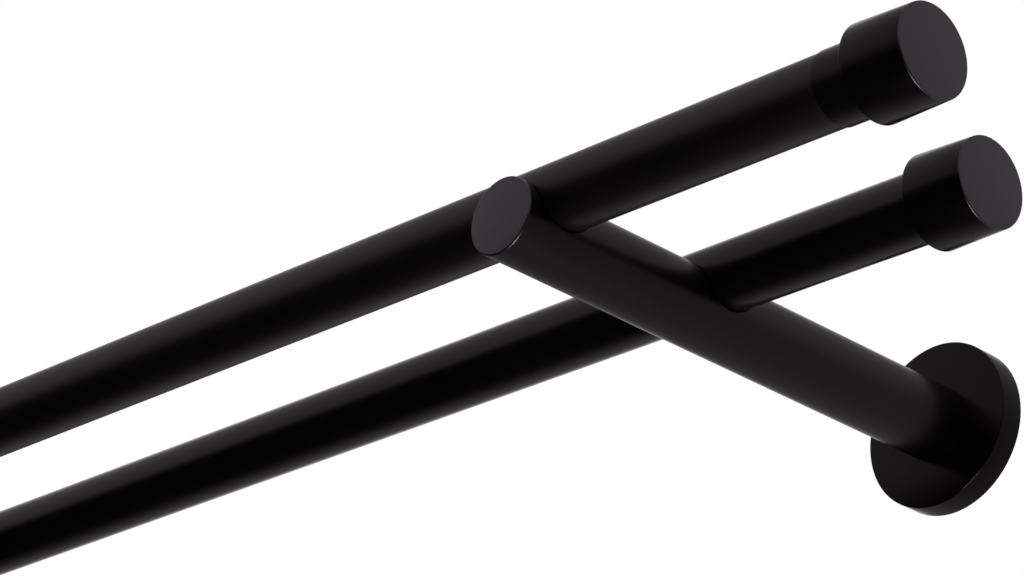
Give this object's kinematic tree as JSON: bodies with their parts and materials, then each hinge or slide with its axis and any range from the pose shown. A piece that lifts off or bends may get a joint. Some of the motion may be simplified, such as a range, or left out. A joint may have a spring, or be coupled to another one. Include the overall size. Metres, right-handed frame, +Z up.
{
  "type": "double curtain pole",
  "caption": "Double curtain pole: black round poles lying in open seats across round wall arms, with plain cylindrical end caps and round rosettes.",
  "frame": {"origin": "midway between the two brackets, on the wall, at the height of the arms' axes", "axes": "+X along the poles to the right as seen from the room, +Y into the wall, +Z up"},
  "size_m": [0.997, 0.1838, 0.051],
  "materials": {
    "pole_coat": "smooth semi-gloss black coat on steel tube",
    "bracket_coat": "smooth semi-gloss black coat on turned metal",
    "cap_coat": "smooth semi-gloss black coat on cast metal",
    "sleeve_plastic": "thin black plastic",
    "plate_zinc": "zinc plated, satin",
    "fastener_steel": "zinc plated, bright",
    "grub_black": "black oxide"
  },
  "bodies": {
    "root": {"front_left_cap": "cap_coat", "front_left_sleeve": "sleeve_plastic", "front_pole": "pole_coat", "front_right_cap": "cap_coat", "front_right_sleeve": "sleeve_plastic", "left_arm_bolt": "fastener_steel", "left_bracket_arm": "bracket_coat", "left_grub_screw": "grub_black", "left_rosette": "bracket_coat", "left_wall_plate": "plate_zinc", "rear_left_cap": "cap_coat", "rear_left_sleeve": "sleeve_plastic", "rear_pole": "pole_coat", "rear_right_cap": "cap_coat", "rear_right_sleeve": "sleeve_plastic", "right_arm_bolt": "fastener_steel", "right_bracket_arm": "bracket_coat", "right_grub_screw": "grub_black", "right_rosette": "bracket_coat", "right_wall_plate": "plate_zinc"}
  },
  "joints": []
}
